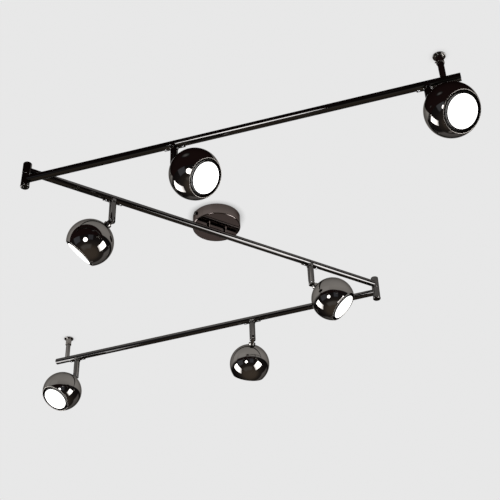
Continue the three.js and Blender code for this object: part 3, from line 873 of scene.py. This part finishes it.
def make_heads():
    """Six alike spotlights. Each mesh is made once and copied."""
    screws = [
        moved(screw_mesh(1.9, 1.0), at(x, 0, -SADDLE_OUTER) @ DOWNWARD)
        for x in (-SADDLE_SCREW_OFFSET, SADDLE_SCREW_OFFSET)
    ]
    meshes = {
        "saddle": saddle_mesh(),
        "saddle_screws": gathered(*screws),
        "stem": stem_mesh(),
        "hinge_pin": pin_mesh(),
        "hinge_arm": hinge_arm_mesh(),
        "globe": globe_mesh(),
        "globe_liner": liner_mesh(),
        "lamp": lamp_mesh(),
        "lampholder": lampholder_mesh(),
    }
    for head in HEADS:
        if head.bar in ("left_arm", "right_arm"):
            azimuth = ARM_AZIMUTHS[head.bar.split("_")[0]]
        else:
            azimuth = 0.0
        on_bar = turned_frame(head.on_bar, azimuth)
        pin = head.stem @ Matrix.Translation((0, 0, -HINGE_DROP * MM))
        stem, tilting = f"stem_{head.number}", f"head_{head.number}"
        rows = [
            ("saddle", BAR_CHROME, head.bar, "black_chrome", on_bar, "saddle"),
            ("saddle_screws", ZINC, head.bar, "zinc_steel", on_bar, ""),
            ("stem", BAR_CHROME, stem, "black_chrome", head.stem, "stem"),
            ("hinge_pin", ZINC, stem, "zinc_steel", pin, "hinge_pin"),
            ("hinge_arm", BLACK_CHROME, tilting, "black_chrome", head.hinge, "hinge_arm"),
            ("globe", [BLACK_CHROME, RIM, LINER], tilting, "black_chrome", head.hinge, "shade"),
            ("globe_liner", LINER, tilting, "black_chrome", head.hinge, ""),
            ("lamp", [OPAL, LAMP_WHITE, LINER], tilting, "lamp_white", head.hinge, "lamp"),
            ("lampholder", CERAMIC, tilting, "ceramic", head.hinge, "lampholder"),
        ]
        for kind, materials, body, slot, where, node in rows:
            name = f"{kind}_{head.number}_look"
            nodes = [f"{node}_{head.number}"] if node else []
            piece = place(name, meshes[kind].copy(), materials, body, slot, nodes, where)
            if kind == "lamp":
                piece.visible_diffuse = False
    for mesh in meshes.values():
        bpy.data.meshes.remove(mesh)


# -------- canopy


CANOPY_TURN = Matrix.Rotation(CANOPY_AZIMUTH, 4, "Z")


def make_cover():
    """Round cup against the ceiling, with holes for the two posts and for the two side screws."""
    inner = CANOPY_RADIUS - CANOPY_WALL
    outline = rounded(
        (0, -CANOPY_HEIGHT),
        (CANOPY_RADIUS, -CANOPY_HEIGHT, 1.7),
        (CANOPY_RADIUS, 0, 0.3),
        (inner, 0, 0.3),
        (inner, CANOPY_FLOOR, 0.7),
        (0, CANOPY_FLOOR),
    )
    low, high = -CANOPY_HEIGHT - 1, CANOPY_FLOOR + 1
    holes = [moved(rod(POST_HOLE_RADIUS, low, high, 40), at(x)) for x in (-POST_OFFSET, POST_OFFSET)]
    screw_hole = rod(CANOPY_SCREW_HOLE_RADIUS, -CANOPY_RADIUS - 1, CANOPY_RADIUS + 1, 32)
    holes.append(moved(screw_hole, CANOPY_TURN @ at(0, 0, CANOPY_SCREW_Z) @ ALONG_X))
    look("canopy_cover", finished(cut(lathe(outline, 160), *holes), 0.12), CANOPY_CHROME, FIXED)


def make_canopy_screw(side, turn):
    """Slotted screw through the canopy's wall into an ear of the bracket."""
    radius, height = CANOPY_SCREW_HEAD_RADIUS, CANOPY_SCREW_HEAD_HEIGHT
    head = rounded((0, 0), (radius, 0, 0.15), (radius, height, 1.1), (0, height))
    slot = block(9, 0.9, 1.6, (0, 0, height))
    knob = moved(cut(lathe(head, 48), slot), at(0, 0, CANOPY_RADIUS + 0.1))
    shank = rod(CANOPY_SCREW_RADIUS, BRACKET_HALF_LENGTH - 4, CANOPY_RADIUS + 0.4, 32)
    outward = Matrix.Rotation(turn, 4, "Z") @ at(0, 0, CANOPY_SCREW_Z) @ ALONG_X
    mesh = moved(finished(joined(knob, shank), 0.1), outward)
    look(f"canopy_screw_{side}", mesh, BOLT_BLACK, FIXED, CANOPY_TURN)


def make_post(side, where):
    """Short hollow post between the bar and the canopy, with a nut and a washer on it inside."""
    low, top = MIDDLE_BAR_Z + 4, -CANOPY_HEIGHT - 0.1
    outline = rounded(
        (0, low),
        (POST_RADIUS, low),
        (POST_RADIUS, top, 0.3),
        (POST_NECK_RADIUS, top, 0.1),
        (POST_NECK_RADIUS, POST_NECK_TOP, 0.4),
        (0, POST_NECK_TOP),
    )
    groove = moved(rod(BAR_RADIUS + 0.1, -9, 9, 64), at(0, 0, MIDDLE_BAR_Z) @ ALONG_X)
    post = cut(lathe(outline, 48), groove, rod(POST_BORE, MIDDLE_BAR_Z, POST_NECK_TOP + 1, 24))
    look(f"bar_post_{side}", finished(post, 0.1), BAR_CHROME, FIXED, where)

    floor = CANOPY_FLOOR
    nut = cut(prism(hexagon(5.2), floor + 0.9, floor + 4.4), rod(3.05, floor - 1, floor + 6, 32))
    washer = cut(rod(6, floor + 0.1, floor + 0.8, 40), rod(3.2, floor - 1, floor + 2, 32))
    mesh = finished(gathered(nut, washer), 0.25)
    place(f"post_nut_{side}", mesh, ZINC, FIXED, "zinc_steel", [], where)


def make_bracket():
    """Bent strap on the ceiling, its slots for the ceiling screws, and an ear at each end."""
    half, ear, t = BRACKET_HALF_LENGTH, -BRACKET_EAR_DEPTH, BRACKET_THICKNESS
    section = rounded(
        (-half, ear),
        (-half, 0, 2.0),
        (half, 0, 2.0),
        (half, ear),
        (half - t, ear),
        (half - t, -t, 0.5),
        (-half + t, -t, 0.5),
        (-half + t, ear),
        closed=True,
    )
    upright = Matrix.Rotation(math.pi / 2, 4, "X")
    strap = moved(prism(section, -BRACKET_WIDTH / 2, BRACKET_WIDTH / 2), upright)
    tools = []
    quarter = math.pi / 2
    for side in (-1, 1):
        x = side * BRACKET_SLOT_X
        right_end = arc(BRACKET_SLOT_RADIUS, -quarter, quarter, 12, (x + BRACKET_SLOT_REACH, 0))
        left_end = arc(BRACKET_SLOT_RADIUS, quarter, 3 * quarter, 12, (x - BRACKET_SLOT_REACH, 0))
        tools.append(prism(right_end + left_end, -3, 1))
        for y in (-8, 8):
            tools.append(block(4, 4, BRACKET_EAR_DEPTH, (side * half, y, ear / 2 - 3)))
    screw_hole = rod(CANOPY_SCREW_HOLE_RADIUS, -2 * half, 2 * half, 24)
    tools.append(moved(screw_hole, at(0, 0, CANOPY_SCREW_Z) @ ALONG_X))
    tools.append(moved(rod(2.1, -3, 1, 24), at(EARTH_X, 0)))
    mesh = finished(cut(strap, *tools), 0.2)
    look("mounting_bracket", mesh, ZINC, FIXED, CANOPY_TURN, "zinc_steel")
    earth = moved(screw_mesh(2.8, 1.4), at(-EARTH_X, 0, -t) @ DOWNWARD)
    place("earth_screw", earth, BRASS, FIXED, "zinc_steel", [], CANOPY_TURN)


def make_terminal_block():
    """Three-pole strip with its barrels, screw wells and brass screws."""
    floor = CANOPY_FLOOR + 0.3
    poles = (-TERMINAL_PITCH, 0, TERMINAL_PITCH)
    screw_places = [(x, y) for x in poles for y in (-TERMINAL_SCREW_Y, TERMINAL_SCREW_Y)]
    base = block(TERMINAL_LENGTH, TERMINAL_WIDTH, 6, (0, 0, floor + 3))
    barrels = [block(TERMINAL_PITCH * 0.7, 9, 9, (x, 0, floor + 5.5)) for x in poles]
    wells = [moved(rod(1.9, floor + 6.5, floor + 11, 24), at(x, y)) for x, y in screw_places]
    entries = [moved(rod(1.5, -8, 8, 24), at(x, 0, floor + 3.2) @ ALONG_Y) for x in poles]
    mesh = finished(cut(joined(base, *barrels), *wells, *entries), 0.3)
    where = CANOPY_TURN @ Matrix.Translation((0, TERMINAL_OFFSET * MM, 0))
    look("terminal_block", mesh, POLYAMIDE, FIXED, where, "terminal_plastic")
    screws = [moved(screw_mesh(1.6, 0.7, 0.3), at(x, y, floor + 7.4)) for x, y in screw_places]
    place("terminal_screws", gathered(*screws), BRASS, FIXED, "zinc_steel", [], where)


def make_wires():
    """Leads from the terminal strip into the two posts, and the earth lead to the bracket."""

    def turned(x, y, z):
        return CANOPY_TURN @ Vector((x, y, z))

    def strip_end(x):
        return turned(x, TERMINAL_OFFSET - 5.5, CANOPY_FLOOR + 3.5)

    def route(start, bend, post_x):
        ends = [Vector((post_x, 0, -12.2)), Vector((post_x, 0, -15.5))]
        return [start, start + turned(0, -2.5, 0.4), Vector(bend), *ends]

    brown = route(strip_end(TERMINAL_PITCH), (-12, -4, -12.5), -POST_OFFSET)
    blue = route(strip_end(-TERMINAL_PITCH), (12, -6, -12.5), POST_OFFSET)
    to_bracket = [turned(-5, 8, -9), turned(-EARTH_X, 2, -4.6), turned(-EARTH_X, 0, -3.6)]
    earth = [strip_end(0), strip_end(0) + turned(0, -3, 1), *to_bracket]
    rows = [
        ("wire_brown_left", WIRE_BROWN, brown),
        ("wire_blue_right", WIRE_BLUE, blue),
        ("wire_earth", WIRE_GREEN, earth),
    ]
    for name, material, points in rows:
        mesh = tube(points, WIRE_RADIUS)
        mesh.shade_smooth()
        place(name, mesh, material, FIXED, "terminal_plastic")


# -------- struts


def make_strut_rod(side, foot):
    """Plain rod standing on the arm, saddled onto its bar."""
    low = OUTER_BAR_Z + 4
    outline = rounded((0, low), (ROD_RADIUS, low), (ROD_RADIUS, ROD_TOP, 0.6), (0, ROD_TOP))
    groove = moved(rod(BAR_RADIUS + 0.1, -12, 12, 64), at(0, 0, OUTER_BAR_Z) @ ALONG_X)
    mesh = finished(cut(lathe(outline, 64), groove), 0.2)
    look(f"{side}_strut_rod", mesh, BAR_CHROME, f"{side}_arm", turned_frame(foot, ARM_AZIMUTHS[side]))


def make_strut_socket(side, where):
    """Socket that slides on the rod, with its ceiling flange and a swelling at its mouth."""
    bore, mouth = ROD_RADIUS + 0.3, SOCKET_RADIUS + 0.25
    outline = rounded(
        (FLANGE_HOLE_RADIUS, -FLANGE_THICKNESS, 0.2),
        (bore, -FLANGE_THICKNESS, 0.2),
        (bore, SOCKET_END + 1.4, 0.2),
        (SOCKET_RADIUS - 0.3, SOCKET_END, 0.1),
        (mouth, SOCKET_END, 0.3),
        (mouth, SOCKET_END + 2.2, 0.3),
        (SOCKET_RADIUS, SOCKET_END + 2.6, 0.2),
        (SOCKET_RADIUS, -FLANGE_THICKNESS, 0.8),
        (FLANGE_RADIUS, -FLANGE_THICKNESS, 0.7),
        (FLANGE_RADIUS, 0, 0.3),
        (FLANGE_HOLE_RADIUS, 0, 0.3),
        closed=True,
    )
    hole = moved(rod(GRUB_RADIUS + 0.2, 0, 12, 32), at(0, 0, GRUB_Z) @ ALONG_X)
    mesh = finished(cut(lathe(outline, 80, closed=True), hole), 0.1)
    paint_faces(mesh, lambda p: p.z < SOCKET_END + 2.7)
    look(f"{side}_strut_socket", mesh, [BLACK_CHROME, RIM], f"{side}_ceiling_socket", where)


def make_grub_screw(side, where):
    """Set screw with a hexagon socket, which holds the rod in its socket."""
    tip, end = ROD_RADIUS + 0.3, SOCKET_RADIUS + 2
    outline = rounded((0, tip), (GRUB_RADIUS, tip), (GRUB_RADIUS, end, 0.4), (0, end))
    key_hole = prism(hexagon(0.75), SOCKET_RADIUS + 0.8, SOCKET_RADIUS + 4)
    mesh = finished(cut(lathe(outline, 40), key_hole), 0.06)
    mesh = moved(mesh, at(0, 0, GRUB_Z) @ ALONG_X)
    look(f"{side}_grub_screw", mesh, ZINC, f"{side}_ceiling_socket", where, "zinc_steel")


def make_strut(side):
    foot = middle_of(f"{side}_strut_rod").xy.to_3d()
    make_strut_rod(side, foot)
    where = turned_frame(foot, heading(middle_of(f"{side}_grub_screw") - foot))
    make_strut_socket(side, where)
    make_grub_screw(side, where)


# -------- studio


# What the camera sees behind the object, and what lights matt surfaces.
BACKDROP = (0.806, 0.806, 0.806, 1)

# What mirror-like surfaces see of the room, by elevation in degrees: a pale ceiling over a dark room.
ROOM = [
    (-90, (0.2, 0.16, 0.125)),
    (-60, (0.17, 0.135, 0.105)),
    (-42, (0.07, 0.058, 0.05)),
    (-20, (0.035, 0.029, 0.029)),
    (10, (0.02, 0.018, 0.019)),
    (15, (0.03, 0.028, 0.028)),
    (17, (0.74, 0.715, 0.69)),
    (40, (0.88, 0.85, 0.82)),
    (90, (0.8, 0.78, 0.755)),
]

# Paler and darker areas of the room: azimuth and elevation of the middle, half width and half
# height, width of the soft edge, all in degrees, and the colour.
AREAS = [
    (135, 28, 22, 9, 14, (1.0, 0.97, 0.935)),
    (-165, 30, 16, 6, 12, (0.95, 0.925, 0.9)),
    (38, -11, 32, 10, 10, (0.36, 0.34, 0.33)),
    (-140, -54, 34, 4, 12, (0.24, 0.22, 0.2)),
    (-178, -7, 13, 12, 6, (0.17, 0.175, 0.195)),
    (-110, -7, 8, 11, 6, (0.14, 0.145, 0.165)),
    (60, -37, 4, 3, 3, (0.43, 0.385, 0.37)),
]

# Lights that only mirror-like surfaces see: where they stand and how large they are, in metres.
LIGHT_STRENGTH = 12
SOFTBOX_RIGHT = (0.516, -0.54, -0.573)
SOFTBOX_RIGHT_SIZE = (0.55, 0.7)
SOFTBOX_RIGHT_ROLL = math.radians(-12)
SOFTBOX_LEFT = (-0.542, 0.65, -0.509)
SOFTBOX_LEFT_SIZE = (0.5, 0.74)
ROUND_LIGHT = (-1.057, -0.797, -0.571)
ROUND_LIGHT_RADIUS = 0.225
LIGHTS_AIM = Vector((0, 0, -0.115))

# The flag's edge follows the near arm. Each glow is counted from the middle of its globe. In metres.
FLAG_EDGE = Vector((-0.29, -0.05)), Vector((0.11, -0.48))
GLOW_RADIUS = 0.045
GLOW_OFFSETS = {1: (-0.181, -0.032), 2: (-0.12, -0.046)}

# The camera: place in metres, and azimuth, elevation and roll of its view in degrees.
CAMERA_PLACE = (-0.70126, -1.22055, -1.06273)
CAMERA_ANGLES = (57.71, 35.1, -2.11)
CAMERA_LENS = 69.28


def sky(world):
    """Soft even light, and the room for mirror-like surfaces."""
    world.use_nodes = True
    world.node_tree.nodes.clear()
    nodes = Nodes(world.node_tree)

    def within(value, half, soft):
        """1 while the value's size is under half, falling to 0 over the soft edge."""
        size = nodes.calculated("ABSOLUTE", value)
        span = math.radians(half), math.radians(half + soft)
        return nodes.ranged(size, 1.0, 0.0, *span, interpolation_type="SMOOTHSTEP")

    direction = nodes.add("TexCoord").outputs["Generated"]
    elevation = nodes.calculated("ARCSINE", nodes.split(direction, "Z"))
    ramp = nodes.add("ValToRGB", {"Fac": nodes.ranged(elevation, 0, 1, -math.pi / 2, math.pi / 2)})
    elements = ramp.color_ramp.elements
    while len(elements) < len(ROOM):
        elements.new(0.5)
    for element, (degrees, colour) in zip(elements, ROOM):
        element.position = (degrees + 90) / 180
        element.color = (*colour, 1)
    room = ramp.outputs["Color"]
    for azimuth, middle, half_width, half_height, soft, colour in AREAS:
        inputs = {"Vector": direction, "Angle": -math.radians(azimuth)}
        turned = nodes.add("VectorRotate", inputs, rotation_type="Z_AXIS").outputs[0]
        aside = nodes.calculated("ARCTAN2", nodes.split(turned, "Y"), nodes.split(turned, "X"))
        above = nodes.calculated("SUBTRACT", elevation, math.radians(middle))
        sides = within(aside, half_width, soft), within(above, half_height, soft)
        room = nodes.mixed(nodes.calculated("MULTIPLY", *sides), room, (*colour, 1))
    seen = nodes.add("Background", {"Color": room})
    even = nodes.add("Background", {"Color": BACKDROP})
    glossy = nodes.add("LightPath").outputs["Is Glossy Ray"]
    blend = nodes.add("MixShader", {0: glossy, 1: even.outputs[0], 2: seen.outputs[0]})
    nodes.add("OutputWorld", {"Surface": blend.outputs[0]})


def unlit(name, surface):
    """A material of its own light, where surface makes the output shader from the empty nodes."""
    material = bpy.data.materials.new(name)
    material.use_nodes = True
    material.node_tree.nodes.clear()
    nodes = Nodes(material.node_tree)
    nodes.add("OutputMaterial", {"Surface": surface(nodes)})
    return material


def emitter(name, colour, level):
    """A material that only shines, where level makes the strength, or is the strength."""

    def surface(nodes):
        strength = level(nodes) if callable(level) else level
        return nodes.add("Emission", {"Color": colour, "Strength": strength}).outputs[0]

    return unlit(name, surface)


def sheet(name, outline, material, matrix):
    """Flat piece of the studio with that outline in metres, facing along its own -Z."""
    mesh = bpy.data.meshes.new(name)
    mesh.from_pydata([(x, y, 0) for x, y in outline], [], [list(range(len(outline)))[::-1]])
    mesh.materials.append(material)
    obj = new_object(name, mesh)
    obj.matrix_world = matrix
    return obj


def card(name, outline, material, matrix):
    """A sheet that shows in mirror-like surfaces and nowhere else."""
    obj = sheet(name, outline, material, matrix)
    for rays in ("camera", "diffuse", "shadow", "transmission", "volume_scatter"):
        setattr(obj, f"visible_{rays}", False)


def facing(location, roll=0.0):
    """A light's place: at the location, with its -Z towards the object."""
    location = Vector(location)
    turn = (LIGHTS_AIM - location).to_track_quat("-Z", "Y").to_matrix().to_4x4()
    return Matrix.Translation(location) @ turn @ Matrix.Rotation(roll, 4, "Z")


def disc(radius, sides):
    return arc(radius, 0, 2 * math.pi * (1 - 1 / sides), sides - 1)


def make_lights():
    """Two softboxes that fade towards their lower edge, and a round light."""

    def fading(nodes):
        height = nodes.split(nodes.add("TexCoord").outputs["Object"], "Y")
        return nodes.ranged(height, 0.3 * LIGHT_STRENGTH, LIGHT_STRENGTH, -0.3, 0.15)

    faded = emitter("softbox", (1, 1, 1, 1), fading)
    white = emitter("round_light", (1, 1, 1, 1), LIGHT_STRENGTH)
    right_place = facing(SOFTBOX_RIGHT, SOFTBOX_RIGHT_ROLL)
    card("softbox_right", rectangle(*SOFTBOX_RIGHT_SIZE), faded, right_place)
    card("softbox_left", rectangle(*SOFTBOX_LEFT_SIZE), faded, facing(SOFTBOX_LEFT))
    card("round_light", disc(ROUND_LIGHT_RADIUS, 48), white, facing(ROUND_LIGHT))


def make_flag():
    """Black flag above the near arm, which keeps the pale ceiling out of its globes."""
    start, end = FLAG_EDGE
    edge = (end - start).normalized()
    side = Vector((edge.y, -edge.x))
    near, far = start - edge * 1.5, end + edge * 1.2
    black = emitter("flag_black", (0.034, 0.018, 0.018, 1), 1)
    corners = [near, far, far + side * 3, near + side * 3]
    card("flag", corners, black, Matrix.Translation((0, 0, 0.004)))


def make_glows():
    """A faint glow in the flag for each of the two near globes."""

    def fading(nodes):
        place_on_card = nodes.add("TexCoord").outputs["Object"]
        distance = nodes.add("VectorMath", {0: place_on_card}, operation="LENGTH").outputs["Value"]
        return nodes.ranged(distance, 0.34, 0.02, 0, GLOW_RADIUS, interpolation_type="SMOOTHSTEP")

    glow = emitter("glow", (1, 0.97, 0.97, 1), fading)
    for number, offset in GLOW_OFFSETS.items():
        globe_centre = HEADS[number - 1].hinge @ Vector((0, 0, depth(0) * MM))
        where = Matrix.Translation((*(globe_centre.xy + Vector(offset)), 0.003))
        card(f"glow_{number}", disc(GLOW_RADIUS, 32), glow, where)


def make_ceiling():
    """Pale ceiling behind the object, with soft shadows where pieces touch it, clear from above."""

    def surface(nodes):
        shade = nodes.add("AmbientOcclusion", {"Distance": 0.012, "Color": (1, 1, 1, 1)}, samples=8)
        level = nodes.ranged(shade.outputs["AO"], 0.35, BACKDROP[0], 0.25, 1)
        paint = nodes.add("Emission", {"Strength": level})
        clear = nodes.add("BsdfTransparent")
        above = nodes.add("NewGeometry").outputs["Backfacing"]
        blend = nodes.add("MixShader", {0: above, 1: paint.outputs[0], 2: clear.outputs[0]})
        return blend.outputs[0]

    paint = unlit("ceiling_paint", surface)
    ceiling = sheet("ceiling", rectangle(24, 24), paint, Matrix.Translation((0, 0, 0.0002)))
    ceiling.visible_glossy = False


def make_studio():
    world = bpy.data.worlds.new("studio")
    bpy.context.scene.world = world
    sky(world)
    make_lights()
    make_ceiling()
    make_flag()
    make_glows()


def make_camera():
    azimuth, elevation, roll = (math.radians(angle) for angle in CAMERA_ANGLES)
    flat = math.cos(elevation)
    forward = Vector((flat * math.cos(azimuth), flat * math.sin(azimuth), math.sin(elevation)))
    level = Vector((math.sin(azimuth), -math.cos(azimuth), 0))
    upright = level.cross(forward)
    right = math.cos(roll) * level + math.sin(roll) * upright
    up = math.cos(roll) * upright - math.sin(roll) * level
    camera = new_object("camera", bpy.data.cameras.new("camera"))
    camera.data.sensor_width = 36
    camera.data.lens = CAMERA_LENS
    camera.data.clip_end = 50
    camera.matrix_world = basis(right, up, -forward, Vector(CAMERA_PLACE))
    bpy.context.scene.camera = camera


make_camera()
make_studio()
make_middle_bar()
for arm_side in ("left", "right"):
    make_arm(arm_side)
    make_pivot_bolt(arm_side)
    make_strut(arm_side)
make_heads()
make_cover()
for canopy_side, screw_turn, post_x in (("left", 0, -POST_OFFSET), ("right", math.pi, POST_OFFSET)):
    make_canopy_screw(canopy_side, screw_turn)
    make_post(canopy_side, Matrix.Translation((post_x * MM, 0, 0)))
make_bracket()
make_terminal_block()
make_wires()
bpy.context.scene.view_settings.view_transform = "Standard"
